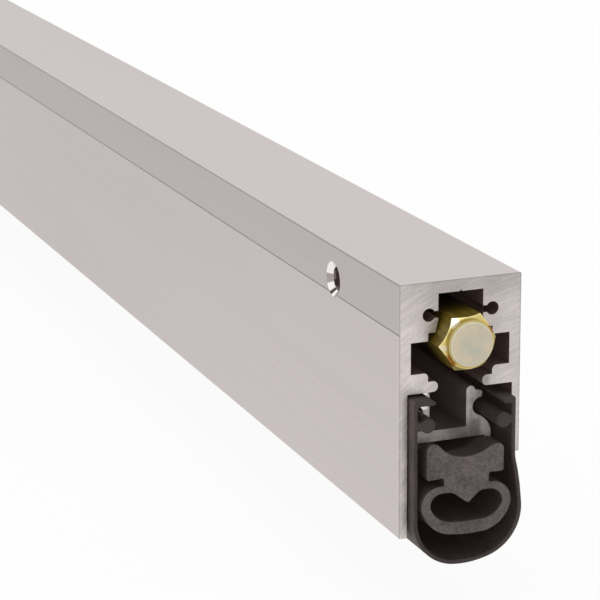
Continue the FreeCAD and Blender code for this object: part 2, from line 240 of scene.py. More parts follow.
def housingAluminium():
    # Satin anodised extrusion: die lines along it, saw marks on the cut ends, painted light, shade and
    # highlights on faces, edges, ends and countersinks, and a painted dark shade with a painted glow in the
    # hollow
    finish = Finish("housingAluminium", Emission_Strength=1)
    x, y, z = abs(finish.x), finish.y, finish.z
    half = housingLook["half"]
    lines = finish.noise(0.6, (0.004, 1, 1), 3)
    clouds = finish.noise(45, (0.25, 1, 1))
    grain = finish.noise(0.25)
    cut = x.above(nearFront - 0.02, nearFront - 0.01)

    # The faces: a darker strip over the scribed line, and the line itself
    exposed = y.below(-half + 0.16, -half + 0.2)
    scribeDepth, scribeHalf = housingLook["scribe"]
    strip = z.above(scribeDepth, scribeDepth + 0.05) * z.below(-0.05, 0)
    down = z * (-1 / housingLook["height"])
    level = 1 - (1 - housingLook["aboveScribe"]) * strip * exposed
    # Painted light: the exposed face grows lighter towards its bottom
    level = level * (0.965 + down * exposed * 0.06)
    # Painted shade: darker in the middle of the length, paler out to both ends
    level = level * (1 - x.below(housingLook["shadeFadeFrom"], nearFront) * (strip * exposed * 0.04 + 0.075))
    level = level * (1 + (lines - 0.5) * 0.2 + (clouds - 0.5) * 0.12 + (grain - 0.5) * 0.14)
    scribe = abs(z - scribeDepth).below(scribeHalf * 0.5, scribeHalf) * exposed
    level = level * (1 - scribe * 0.45)

    # Painted shade: a dark line where two faces meet, with a painted highlight beside it
    edge = housingLook["edge"]
    shadeUnderTop = z.above(-edge, -edge * 0.8) * exposed
    highlightTopRim = z.above(-edge * 0.8, 0) * abs(y).above(half - edge * 2, half - edge)
    shadeNearCut = x.above(nearFront - edge, nearFront - edge * 0.6) * (1 - cut)
    highlightBesideCut = x.above(nearFront - edge * 3, nearFront - edge * 2) * (1 - shadeNearCut) * (1 - cut)
    level = level * (1 - shadeUnderTop * 0.32) * (1 + highlightTopRim * 0.1)
    level = level * (1 - shadeNearCut * 0.22) * (1 + highlightBesideCut * 0.05)
    faceColour = finish.scaled(housingLook["face"], level)

    # The sawn ends: arcs from a large blade, with bright and dull patches
    sawY, sawZ = housingLook["sawCentre"]
    away = ((y - sawY) ** 2 + (z - sawZ) ** 2) ** 0.5
    ring = finish.node("CombineXYZ", sockets={0: away, 1: (y + z) * 0.05, 2: finish.x * 0.01})
    pitch = housingLook["sawPitch"]
    narrow = {"Vector": ring, "Scale": 1 / pitch, "Detail": 3, "Roughness": 0.6}
    saw = finish.node("TexNoise", sockets=narrow).above(0.3, 0.7)
    wide = {"Vector": ring, "Scale": 0.35 / pitch, "Detail": 2}
    streak = finish.node("TexNoise", sockets=wide).above(0.35, 0.65)
    patches = finish.noise(5, detail=3).above(0.35, 0.65)
    fleck = finish.noise(0.3, detail=3).above(0.35, 0.65)
    cutLevel = 0.97 + (saw - 0.5) * 0.14 + (streak - 0.5) * 0.07
    cutLevel = cutLevel + (patches - 0.5) * 0.1 + (fleck - 0.5) * 0.09
    # Painted light: the cut ends are lighter towards the exposed side, a little lighter on the far side, and
    # darker near the top
    cutLevel = cutLevel * (1 + y.below(-9, -4) * 0.13 + y.above(6, 9) * 0.03) * (1 - z.above(-5, -1) * 0.17)
    # Painted shade on the end of the right ear's lip
    lip = y.within(*housingLook["lipShadeAcross"]) * z.within(*housingLook["lipShadeUp"])
    cutLevel = cutLevel * (1 - lip * 0.36)
    scratch = abs(streak - 0.5).below(0.02, 0.07) * patches
    cutLevel = cutLevel * (1 - scratch * 0.14)
    # Painted highlight: bright sheen patches low on the exposed side of the cut end
    paintedSheen = finish.noise(2.6, (1, 1, 0.6), 3).above(0.46, 0.6)
    cutLevel = cutLevel * (1 + paintedSheen * z.below(-24, -11) * y.below(-7, -3) * 0.24)
    # Painted shade: a dark rim along the outer edges of the cut end
    rim = abs(y).above(half - 0.22, half - 0.14).atLeast(z.above(-0.22, -0.14))
    cutLevel = cutLevel * (1 - rim * 0.22)
    cutColour = finish.scaled(housingLook["cut"], cutLevel)
    colour = finish.mix(cut, faceColour, cutColour)

    # The machined countersinks get painted highlights in a few wide facets and a painted dark sector, and
    # the bores are dull, streaked with the painted shade of the hollow
    reach, turn = countersink(finish)
    coneRadius, boreRadius = housingLook["coneRadius"], housingLook["boreRadius"]
    sunk = 1 - exposedFlat(finish)
    cone = reach.below(coneRadius, coneRadius + 0.02) * sunk
    bore = reach.below(boreRadius + 0.01, boreRadius + 0.03)
    ripple = finish.node("TexNoise", {"noise_dimensions": "1D"}, {"W": turn, "Scale": 7, "Detail": 2})
    flash = sum(turn.within(*turns) for turns in housingLook["flashes"])
    gap = turn.within(*housingLook["gap"])
    coneColour = finish.mix(flash, housingLook["coneDull"], housingLook["coneHighlight"])
    coneColour = finish.tint(finish.mix(gap, coneColour, housingLook["coneShade"]), ripple, 0.3)
    dull = finish.noise(0.5, (1, 0.05, 0.3)).above(0.38, 0.62)
    boreColour = finish.mix(dull, housingLook["hollow"], housingLook["bore"])
    inCone = cone * (1 - bore)
    colour = finish.mix(inCone, colour, coneColour)
    colour = finish.mix(bore * sunk, colour, boreColour)

    # Painted shade: inside the channel the colour is dark, with a faint painted glow, as hardly any light
    # comes back
    cavityHalf, webDepth = housingLook["cavityHalf"], housingLook["webDepth"]
    inside = abs(y).below(cavityHalf, cavityHalf + 0.02) * z.below(-webDepth - 0.01, -webDepth)
    inside = inside * z.above(*housingLook["cavityFade"]) * (1 - cut) * (1 - inCone)
    colour = finish.mix(inside, colour, housingLook["hollow"])
    finish.give("Emission Color", finish.mix(inside, (0, 0, 0, 1), paintedGlow))
    finish.give("Metallic", 0.9 - inside * 0.9 - bore * (1 - inside) * 0.6)
    height = lines * (1 - cut) * 0.3 + saw * cut + grain * 0.1
    return finish.dress(colour, housingLook["roughness"] + (lines - 0.5) * 0.15 - inCone * 0.2, height, 0.02)


barLook = {
    "face": shade(236, 228, 224),
    "dull": shade(128, 120, 117),
    "bright": shade(252, 250, 248),
    "inside": shade(92, 82, 79),
    "glint": shade(130, 127, 125),
    "roughness": 0.4,
    "end": 452.4,
    "shadedAcross": ((-1, 2), (3.2, 5)),
    "shadedUnder": (-28, -26.5),
    "footFrom": (5.9, 6.9),
    "footUp": ((-29.7, -28.9), (-26.7, -26.1)),
    "legAcross": ((3.2, 3.3), (3.8, 4.5)),
    "legOver": (-27, -25.5),
    "cornerAcross": ((3.8, 4.6), (5.5, 6.4)),
    "cornerUnder": (-27, -26.2),
    "outerFrom": (-4.2, -3.6),
    "outerOver": (-23.9, -23.4),
}


def barAluminium():
    # Mill finish: sawn ends with painted highlights and painted shade, a painted highlight and painted glow
    # on the exposed side, and painted shade on the length behind
    finish = Finish("barAluminium", Metallic=0.4, Emission_Strength=0.8)
    x, y, z = finish.x, finish.y, finish.z
    end = barLook["end"]
    patches = finish.noise(3).above(0.36, 0.64)
    speckle = finish.noise(0.3).above(0.36, 0.64)
    lines = finish.noise(0.4, (0.004, 1, 1))
    colour = finish.mix(patches * 0.4 + speckle * 0.25 + 0.175, barLook["dull"], barLook["face"])
    colour = finish.tint(colour, lines, 0.3)
    # Painted shade on part of the plate
    shaded = y.within(*barLook["shadedAcross"]) * z.below(*barLook["shadedUnder"])
    colour = finish.mix(shaded * 0.6, colour, barLook["dull"])
    # Painted highlights on the foot and the leg
    foot = y.above(*barLook["footFrom"]) * z.within(*barLook["footUp"])
    leg = y.within(*barLook["legAcross"]) * z.above(*barLook["legOver"])
    # Painted shade in the corner between the leg and the foot
    corner = y.within(*barLook["cornerAcross"]) * z.below(*barLook["cornerUnder"])
    colour = finish.mix(corner * 0.55, colour, barLook["dull"])
    colour = finish.mix(foot * 0.45 + leg * 0.4, colour, barLook["bright"])
    # Painted shade on the length behind the sawn end
    sawn = abs(x).above(end - 0.12, end - 0.04)
    colour = finish.mix((1 - sawn) * 0.75, colour, barLook["inside"])
    # Painted highlight and painted glow on the end of the exposed side's lip
    outer = y.below(*barLook["outerFrom"]) * z.above(*barLook["outerOver"])
    outer = outer * x.above(end - 0.1, end - 0.02)
    colour = finish.mix(outer, colour, barLook["bright"])
    finish.give("Emission Color", finish.mix(outer, paintedGlow, barLook["glint"]))
    return finish.dress(colour, barLook["roughness"] + patches * 0.15, lines, 0.02)


rubberLook = {
    "sleeveSkin": shade(66, 58, 56),
    "sleeveCut": shade(54, 46, 44),
    "sleeveEnd": 459.4,
    "insertSkin": shade(58, 50, 48),
    "insertCut": shade(88, 80, 78),
    "insertEnd": 460.3,
    "armSide": (8.9, 9.35),
    "roughness": 0.62,
}


def rubber(name, skin, cut, end):
    # Matt extruded rubber: a speckled grain, faint lines along it, another tone on the cut ends, painted
    # light on the outer sides of the arms, and a faint painted glow
    finish = Finish(name, Metallic=0, Specular_IOR_Level=0.35, Emission_Color=paintedGlow,
                    Emission_Strength=0.6)
    fine = finish.noise(0.22).above(0.36, 0.64)
    speckle = finish.noise(0.5, detail=3).above(0.36, 0.64)
    lines = finish.noise(0.5, (0.01, 1, 1))
    patches = finish.noise(3.5, (0.3, 1, 1)).above(0.3, 0.7)
    sawn = abs(finish.x).above(end - 0.16, end - 0.1)
    colour = finish.mix(sawn, skin, cut)
    level = 1 + (fine - 0.5) * 0.34 + (speckle - 0.5) * 0.5 + (patches - 0.5) * 0.4
    level = level * (1 + (lines - 0.5) * 0.25 * (1 - sawn))
    # Painted light: the outer sides of the arms are lighter
    level = level * (1 + abs(finish.y).above(*rubberLook["armSide"]) * 0.35)
    shown = finish.scaled(colour, level)
    height = fine * 0.4 + speckle * 0.4 + lines * 0.4
    return finish.dress(shown, rubberLook["roughness"] + (speckle - 0.5) * 0.15, height, 0.03)


striker = {
    "axis": -10.15,
    "turn": 3.5,  # degrees from a corner level with the axis
    "flats": 9.1,
    "back": 446.3,
    "front": 460.75,
    "faceRadius": 4.45,
    "chamferSlope": 1.25,
    "collar": 4.06,
    "collarFront": 461.5,
    "button": 3.79,
    "buttonFront": 461.84,
    "stem": 1.2,
    "stemBack": 457.9,
    "bore": 1.56,
    "boreEnd": 453.8,
}

brassLook = {
    "chamfer": shade(212, 190, 112),
    "outline": shade(248, 234, 164),
    "white": shade(255, 250, 236),
    "amber": shade(156, 102, 20),
    "collar": shade(172, 154, 94),
    "rim": shade(200, 184, 120),
    "side": shade(122, 104, 34),
    "deep": shade(40, 32, 12),
    "outlineFrom": 4.34,
    "facetEnd": (4.5, 4.53),
    # Painted glints: turn round the chamfer, half width and strength of each
    "whiteGlints": ((0.93, 0.26, 1), (-0.1, 0.14, 0.4)),
    "amberGlints": ((-0.66, 0.36, 1), (2.66, 0.24, 1)),
}


def aroundStriker(finish):
    # How far a point lies from the striker's axis, and its turn up from the exposed side
    lift = finish.z - striker["axis"]
    turn = finish.node("Math", {"operation": "ARCTAN2"}, {0: lift, 1: 0 - finish.y})
    return (finish.y ** 2 + lift ** 2) ** 0.5, turn


def acrossFlats(finish):
    # How far out a point lies towards the nearest of the nut's flats
    lift = finish.z - striker["axis"]
    out = 0
    for corner in (0, 60, 120):
        angle = math.radians(corner + 30 - striker["turn"])
        across = abs(lift * math.sin(angle) - finish.y * math.cos(angle))
        out = across.atLeast(out)
    return out


def glints(turn, places):
    # Painted highlights: bright spots round the chamfer, as one mask
    return sum(abs(turn - centre).below(half * 0.5, half) * strength for centre, half, strength in places)


def turnedBrass():
    # Chamfers with painted white and amber glints, a painted reflection round them and painted highlights at
    # their edges, a duller collar with a painted highlight on its rim, and olive flats in painted shade that
    # fades into the dark
    finish = Finish("turnedBrass")
    turn = aroundStriker(finish)[1]
    lines = finish.noise(0.25, (1, 0.05, 0.05))
    grain = finish.noise(0.5, (0.1, 1, 1), 3).above(0.36, 0.64)
    out = acrossFlats(finish)
    frontX, collarX = striker["front"], striker["collarFront"]
    front = finish.x.above(frontX - 1.4, frontX - 1.3) * out.below(*brassLook["facetEnd"])
    # Painted shade: olive flats that darken towards the back
    deep = finish.x.below(frontX - 12, frontX - 2)
    side = finish.mix(deep, brassLook["side"], brassLook["deep"])
    side = finish.tint(side, grain, 0.4)
    # Painted reflection: the colour of the chamfer and collar rises and falls round the axis
    ripple = finish.node("TexNoise", {"noise_dimensions": "1D"}, {"W": turn, "Scale": 2.2, "Detail": 3})
    face = finish.tint(brassLook["chamfer"], ripple, 0.5)
    # Painted highlight along the chamfer's edges at the flats
    flat = out.above(brassLook["outlineFrom"], brassLook["outlineFrom"] + 0.12)
    face = finish.mix(flat, face, brassLook["outline"])
    face = finish.mix(glints(turn, brassLook["whiteGlints"]), face, brassLook["white"])
    face = finish.mix(glints(turn, brassLook["amberGlints"]), face, brassLook["amber"])
    collar = finish.x.above(frontX + 0.02, frontX + 0.04)
    # Painted highlight on the collar's front rim
    rim = finish.x.above(collarX - 0.16, collarX - 0.08)
    face = finish.mix(collar, face, finish.tint(brassLook["collar"], ripple, 0.3))
    face = finish.mix(rim, face, brassLook["rim"])
    face = finish.tint(face, lines, 0.2)
    finish.give("Metallic", 0.35 + front * 0.25 - collar * 0.05)
    return finish.dress(finish.mix(front, side, face), 0.2 + (1 - front) * 0.2 + collar * 0.3, lines)


buttonLook = {
    "cream": shade(214, 199, 171),
    "grey": shade(190, 188, 171),
    "rim": shade(228, 222, 200),
    "roughness": 0.42,
}


def buttonNylon():
    # Cream nylon, greyer and cloudy in the middle, with a painted highlight round the rim
    finish = Finish("buttonNylon", Metallic=0)
    reach = aroundStriker(finish)[0]
    clouds = finish.noise(2.4, detail=3).above(0.4, 0.6)
    grain = finish.noise(0.2, detail=3)
    middle = reach.below(0.8, 3.6)
    colour = finish.mix(middle * 0.55 + clouds * 0.45, buttonLook["cream"], buttonLook["grey"])
    rimHighlight = reach.above(striker["button"] - 0.2, striker["button"] - 0.08) * 0.75
    colour = finish.tint(finish.mix(rimHighlight, colour, buttonLook["rim"]), grain, 0.12)
    return finish.dress(colour, buttonLook["roughness"] + (clouds - 0.5) * 0.1, grain)


innerLook = {
    "blockNylon": (shade(34, 34, 36), 0.5),
    "rodSteel": (shade(190, 192, 194), 0.3),
    "springSteel": (shade(150, 152, 156), 0.28),
    "rivetAluminium": (shade(205, 205, 204), 0.35),
}


def innerMetal(name):
    # Drawn or turned metal with fine lines along it
    colour, roughness = innerLook[name]
    finish = Finish(name, Metallic=1)
    lines = finish.noise(0.3, (0.02, 1, 1), 3)
    shown = finish.tint(finish.tint(colour, lines, 0.2), finish.noise(4), 0.2)
    return finish.dress(shown, roughness + (lines - 0.5) * 0.2, lines)


def blockNylon():
    # Dark moulded plastic: a faint cloudiness, a fine grain and a faint painted glow
    colour, roughness = innerLook["blockNylon"]
    finish = Finish("blockNylon", Metallic=0, Emission_Color=paintedGlow, Emission_Strength=0.6)
    clouds = finish.noise(2.2)
    grain = finish.noise(0.2, detail=3)
    shown = finish.tint(finish.tint(colour, clouds, 0.12), grain, 0.06)
    return finish.dress(shown, roughness + (clouds - 0.5) * 0.1, grain)


finishes = {
    "housing_aluminium": housingAluminium(),
    "bar_aluminium": barAluminium(),
    "sleeve_rubber": rubber("sleeveRubber", rubberLook["sleeveSkin"], rubberLook["sleeveCut"],
                            rubberLook["sleeveEnd"]),
    "insert_rubber": rubber("insertRubber", rubberLook["insertSkin"], rubberLook["insertCut"],
                            rubberLook["insertEnd"]),
    "brass": turnedBrass(),
    "button_nylon": buttonNylon(),
    "block_nylon": blockNylon(),
    "rod_steel": innerMetal("rodSteel"),
    "spring_steel": innerMetal("springSteel"),
    "rivet_aluminium": innerMetal("rivetAluminium"),
}
print("finishes made:", len(finishes))

slotNodes = {
    "housing_aluminium": ["housing"],
    "bar_aluminium": ["drop_bar"],
    "block_nylon": ["slider_block_1", "slider_block_2", "anchor_block_1", "anchor_block_2"],
    "rod_steel": ["push_rod", "link_rod", "slider_pin_1", "slider_pin_2", "anchor_pin_1", "anchor_pin_2"],
    "spring_steel": ["spring_saddle_1", "spring_saddle_2"],
    "rivet_aluminium": ["saddle_rivets"],
}
for slotName, members in slotNodes.items():
    for member in members:
        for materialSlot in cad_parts[member].material_slots:
            materialSlot.material = finishes[slotName]
print("frame nodes dressed")


def asObject(name, form):
    mesh = bpy.data.meshes.new(name)
    form.to_mesh(mesh)
    form.free()
    made = bpy.data.objects.new(name, mesh)
    bpy.context.scene.collection.objects.link(made)
    return made


def piece(name, form, slotName, body, replaced, crease=35):
    # Turns a worked bmesh into an object of the part, with soft shading up to the crease angle
    bmesh.ops.recalc_face_normals(form, faces=form.faces)
    for face in form.faces:
        face.smooth = True
    for edge in form.edges:
        edge.smooth = len(edge.link_faces) == 2 and edge.calc_face_angle() < math.radians(crease)
    made = asObject(name, form)
    made.data.materials.append(finishes[slotName])
    if body:
        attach(made, body)
    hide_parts(replaced)
    return made


def onlyFaces(items):
    return [item for item in items if isinstance(item, bmesh.types.BMFace)]


def onlyVerts(items):
    return [item for item in items if isinstance(item, bmesh.types.BMVert)]


def moveBy(form, verts, x=0, y=0, z=0):
    # Distances in millimetres
    bmesh.ops.translate(form, verts=verts, vec=(x * mm, y * mm, z * mm))


def turnBy(form, verts, axis, degrees):
    matrix = Quaternion(axis, math.radians(degrees)).to_matrix()
    bmesh.ops.rotate(form, verts=verts, cent=(0, 0, 0), matrix=matrix)


def traceLoop(form, items, place):
    # A closed loop walked clockwise in millimetres. A point's third value rounds its corner,
    # and a bare number between two points is how far the side between them bulges outwards.
    points = [item for item in items if isinstance(item, tuple)]
    bulges = [0] * len(points)
    reached = -1
    for item in items:
        if isinstance(item, tuple):
            reached += 1
        else:
            bulges[reached] = item
    axis = place(1, 0).cross(place(0, 1)).normalized()
    first = form.verts.new(place(*points[0][:2]))
    tips = [first]
    for number, bulge in enumerate(bulges):
        here = place(*points[number][:2])
        there = place(*points[(number + 1) % len(points)][:2])
        if bulge:
            half = (there - here).length / 2
            rise = bulge * mm
            radius = (half * half + rise * rise) / (2 * rise)
            outwards = axis.cross(there - here).normalized()
            centre = (here + there) / 2 + outwards * (rise - radius)
            turn = -4 * math.atan(rise / half)
            steps = max(3, round(abs(turn) / math.radians(arcStep)))
            made = bmesh.ops.spin(form, geom=[tips[-1]], cent=centre, axis=axis, dvec=(0, 0, 0), angle=turn,
                                  steps=steps, use_duplicate=False)["geom_last"]
            tips.append(onlyVerts(made)[0])
        else:
            tips.append(bmesh.ops.extrude_vert_indiv(form, verts=[tips[-1]])["verts"][0])
            tips[-1].co = there
    last = tips.pop()
    bmesh.ops.weld_verts(form, targetmap={last: first})
    loose = [edge for edge in form.edges if not edge.link_faces]
    bmesh.ops.edgeloop_fill(form, edges=loose)  # the bevel needs a face, and it goes again below
    sizes = {}
    for tip, point in zip(tips, points):
        if len(point) > 2:
            sizes.setdefault(point[2], []).append(tip)
    for size, group in sorted(sizes.items()):
        bmesh.ops.bevel(form, geom=group, offset=size * mm, offset_type="OFFSET", segments=5, profile=0.5,
                        affect="VERTICES", clamp_overlap=True, material=-1)
    bmesh.ops.delete(form, geom=form.faces[:], context="FACES_ONLY")


def acrossSeal(y, z):
    return Vector((0, y * mm, z * mm))


def crossSection(*outlines):
    # A flat face across the seal; every outline after the first is a hole in it
    form = bmesh.new()
    for items in outlines:
        traceLoop(form, items, acrossSeal)
    bmesh.ops.remove_doubles(form, verts=form.verts, dist=0.005 * mm)
    bmesh.ops.triangle_fill(form, use_beauty=True, use_dissolve=False, edges=form.edges[:], normal=(1, 0, 0))
    return form


def stationsAlong(past, steps, ends):
    # Even steps from end to end, past the housing, with closer ones at given distances from each end
    start, end = farBack - past, nearFront + past
    even = [start + (end - start) * step / steps for step in range(1, steps)]
    inner = [x for x in even if start + max(ends) < x < end - max(ends)]
    return sorted([start, end] + inner + [start + gap for gap in ends] + [end - gap for gap in ends])


def drawOut(form, sizes):
    # Extrudes the flat face along X from station to station, and softens both cut rims
    rim = sizes["rim"]
    stations = stationsAlong(sizes["reach"] - rim, sizes["steps"], sizes["endSteps"])
    moveBy(form, form.verts, x=stations[0])
    farCap = form.faces[:]
    nearCap = farCap
    for back, front in zip(stations, stations[1:]):
        made = bmesh.ops.extrude_face_region(form, geom=nearCap)["geom"]
        if nearCap is not farCap:
            bmesh.ops.delete(form, geom=nearCap, context="FACES")
        nearCap = onlyFaces(made)
        moveBy(form, onlyVerts(made), x=front - back)
    bmesh.ops.recalc_face_normals(form, faces=form.faces)
    for cap in (farCap, nearCap):
        bmesh.ops.inset_region(form, faces=cap, thickness=rim * mm, use_even_offset=True)
        side = 1 if cap[0].calc_center_median().x > 0 else -1
        moveBy(form, list({vert for face in cap for vert in face.verts}), x=side * rim)


sleeve = {
    "arm": 9.4,
    "wall": 0.72,
    "leftTop": -19.65,
    "rightTop": -20.95,
    "hook": 1.05,
    "shortWall": -31.5,
    "sideFoot": -41.6,
    # The skirt's points from left to right and back again, with the bulges between them
    "lining": [-1.71, (-2.33, -48.73), -0.3, (3.82, -48.3), -2.06, (9.9, -39.4), -0.2],
    "skirt": [0.2, (10.62, -39.4), 2.25, (4, -49), 0.32, (-2.4, -49.45), 1.87],
    "leftBead": (-6.75, -24.2, 1.3),
    "rightBead": (7.2, -24.85, 1.35),
    "neck": 0.75,
    "reach": 2.2,
    "rim": 0.1,
    "steps": 70,
    "endSteps": (1.2, 2.2, 6),
    "sway": 0.1,
    "swayFrom": (36, 12),
    "waves": ((61, 0, 1), (23, 1, 0.6)),  # length, start and strength of each
}


def bead(centre, side):
    # From the wall round the bead and back to the wall, clockwise; side is where the bead's wall lies
    y, z, radius = centre
    neck = sleeve["neck"]
    wallY = side * (sleeve["arm"] - sleeve["wall"])
    across = math.sqrt(radius ** 2 - neck ** 2)
    return [
        (wallY, z - side * neck, 0.15),
        (y + side * across, z - side * neck),
        radius + across,
        (y + side * across, z + side * neck),
        (wallY, z + side * neck, 0.15),
    ]


def makeSleeve():
    # A soft U: hooked arms, two beads that run in the bar's grooves, and a skirt that bulges to the right
    arm, wall = sleeve["arm"], sleeve["wall"]
    inner = arm - wall
    leftTop, rightTop = sleeve["leftTop"], sleeve["rightTop"]
    leftUnder = leftTop - sleeve["hook"]
    rightUnder = rightTop - sleeve["hook"]
    leftHook = [
        (-arm, leftTop, 0.3), (-6.1, leftTop, 0.15), (-5.3, leftUnder + 0.35, 0.12), (-5.5, leftUnder, 0.1),
    ]
    lining = [(-inner, sleeve["sideFoot"])] + sleeve["lining"] + [(inner, sleeve["shortWall"] - 0.1, 1)]
    rightHook = [
        (inner, rightUnder, 0.4), (7.4, rightUnder, 0.12), (6.65, rightTop, 0.15), (arm, rightTop, 0.3),
    ]
    skirt = [(arm, sleeve["shortWall"], 1)] + sleeve["skirt"] + [(-arm, sleeve["sideFoot"])]
    items = leftHook + [(-inner, leftUnder, 0.5)] + bead(sleeve["leftBead"], -1) + lining
    items += bead(sleeve["rightBead"], 1) + rightHook + skirt
    form = crossSection(items)
    drawOut(form, sleeve)
    for vert in form.verts:
        # The free skirt wanders a little along its length
        low = passed(-vert.co.z / mm, *sleeve["swayFrom"])
        sway = 0
        for length, start, strength in sleeve["waves"]:
            sway += strength * math.sin(vert.co.x / mm / length + start)
        vert.co.y += sway * low * sleeve["sway"] * mm
    piece("sealSleeve", form, "sleeve_rubber", "drop_seal", "seal_sleeve")


insert = {
    "block": 6.85,
    "blockTop": -29.75,
    "blockBottom": -33.7,
    "trough": (4.7, -29.9, -31.6),
    "neck": 4.1,
    "bulbTop": -35.05,
    "shoulder": 4.85,
    "bulb": 8.25,
    "widest": -38.9,
    "foot": (2.9, -43.77),
    "hollow": 6.65,
    "roof": -36.3,
    "hollowFoot": (2.4, -41.55),
    "vee": (2.6, 2.1),
    "reach": 3.1,
    "rim": 0.12,
    "steps": 40,
    "endSteps": (1.4, 2.8, 4, 5, 6, 7, 8),
    # Past the bar's end, each stretch is given by its start and length
    "barEnd": 4.8,
    "lift": 1.5,
    "liftFrom": (-34.5, 3),
    "tilt": 2,
    "wing": (-32.2, 0.35, 0.5),
    "wingAcross": (3.9, 0.9),
    "wingUp": (-35, 0.6),
}


def bothSides(right, bulge):
    # What lies right of the centre line, the bulge across it, then the same on the left, still clockwise
    left = [(-item[0],) + item[1:] if isinstance(item, tuple) else item for item in reversed(right)]
    return right + [bulge] + left


def makeInsert():
    # A rubber block held in the bar, a hollow bulb under it and a V that hangs from the hollow's roof
    block, neck = insert["block"], insert["neck"]
    troughHalf, troughEdge, troughFloor = insert["trough"]
    veeHalf, veeDepth = insert["vee"]
    bulb, top, widest = insert["bulb"], insert["bulbTop"], insert["widest"]
    outer = [(-0.3, troughFloor, 0.8), -0.46] + bothSides([
        (troughHalf, troughEdge, 0.6),
        (block, insert["blockTop"], 1.1),
        (block, insert["blockBottom"], 0.35),
        (neck, insert["blockBottom"], 0.35),
        (neck, top, 0.3),
        (insert["shoulder"], top),
        1.13,
        (bulb, widest),
        1.2,
        insert["foot"],
    ], 0.165) + [-0.46]
    hollow, roof = insert["hollow"], insert["roof"]
    hole = [(0.3, roof - veeDepth, 0.3)] + bothSides([
        (veeHalf, roof, 0.6),
        (hollow - 2.2, roof, 0.3),
        0.75,
        (hollow, widest + 0.1),
        0.8,
        insert["hollowFoot"],
    ], 0.1)
    form = crossSection(outer, hole)
    drawOut(form, insert)
    barEnd = nearFront - insert["barEnd"]
    middle, swell, spread = insert["wing"]
    for vert in form.verts:
        # Past the end of the bar nothing holds the block down: it stands higher and leans,
        # and its exposed side swells
        x, y, z = (part / mm for part in vert.co)
        ramp = 4 + 3.5 * passed(-y, 0, 4)
        free = passed(abs(x), barEnd, ramp)
        free = free * free * (3 - 2 * free)
        high = passed(z, *insert["liftFrom"])
        wing = free * passed(-y, *insert["wingAcross"]) * passed(z, *insert["wingUp"])
        vert.co.z += wing * (vert.co.z - middle * mm) * swell
        vert.co.y -= wing * spread * mm
        vert.co.z += free * high * insert["lift"] * mm
        vert.co.z -= free * vert.co.y * math.tan(math.radians(insert["tilt"]))
    piece("bulbInsert", form, "insert_rubber", "drop_seal", "bulb_insert")


makeSleeve()
makeInsert()
print("rubber pieces made")


def alongAxis(x, radius):
    return Vector((x * mm, 0, radius * mm))


def turned(corners, steps=96):
    # Spins a closed half outline of (x, radius) corners round the striker's axis
    form = bmesh.new()
    traceLoop(form, corners, alongAxis)
    bmesh.ops.spin(form, geom=form.verts[:] + form.edges[:], cent=(0, 0, 0), axis=(1, 0, 0), dvec=(0, 0, 0),
                   angle=2 * math.pi, steps=steps, use_merge=True, use_duplicate=False)
    bmesh.ops.remove_doubles(form, verts=form.verts, dist=0.001 * mm)
    bmesh.ops.delete(form, geom=[edge for edge in form.edges if not edge.link_faces], context="EDGES")
    moveBy(form, form.verts, z=striker["axis"])
    bmesh.ops.recalc_face_normals(form, faces=form.faces)
    return form


def combine(base, tool, operation):
    # Joins, cuts or trims the base by the tool, and keeps the result in the base's mesh
    modifier = base.modifiers.new("combine", "BOOLEAN")
    modifier.operation = operation
    modifier.object = tool
    modifier.solver = "EXACT"
    bpy.context.view_layer.update()
    result = bpy.data.meshes.new_from_object(base.evaluated_get(bpy.context.evaluated_depsgraph_get()))
    base.modifiers.clear()
    base.data = result
    bpy.data.objects.remove(tool)


